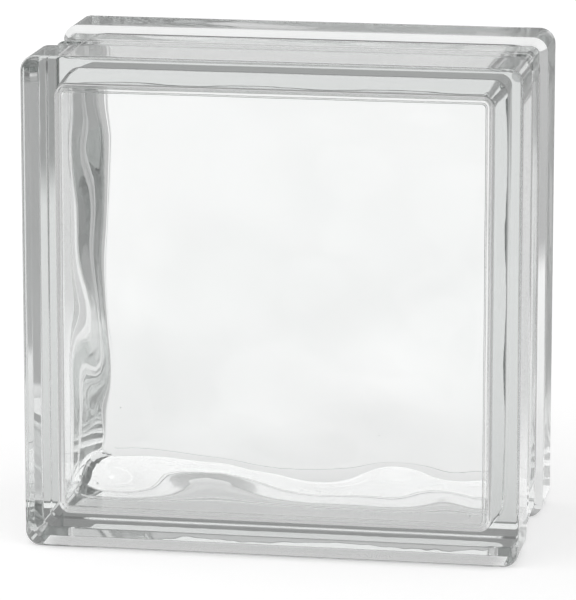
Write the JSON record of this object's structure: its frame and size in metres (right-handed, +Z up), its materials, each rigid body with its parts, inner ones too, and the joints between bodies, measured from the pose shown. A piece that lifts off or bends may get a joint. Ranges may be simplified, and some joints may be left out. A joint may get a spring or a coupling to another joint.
{
  "type": "glass block",
  "caption": "Square hollow glass block with wavy panes, a flange round each face and a mortar key between them.",
  "frame": {"origin": "middle of the underside, in the seam plane where the two halves meet", "axes": "+Z up, +X to the right seen from the front, front face towards -Y, +Y through the thickness"},
  "size_m": [0.19, 0.1, 0.19],
  "materials": {
    "glass": "clear, fire-polished pressed glass with wavy inner faces"
  },
  "bodies": {
    "root": {"front_half": "glass", "rear_half": "glass"}
  },
  "joints": []
}
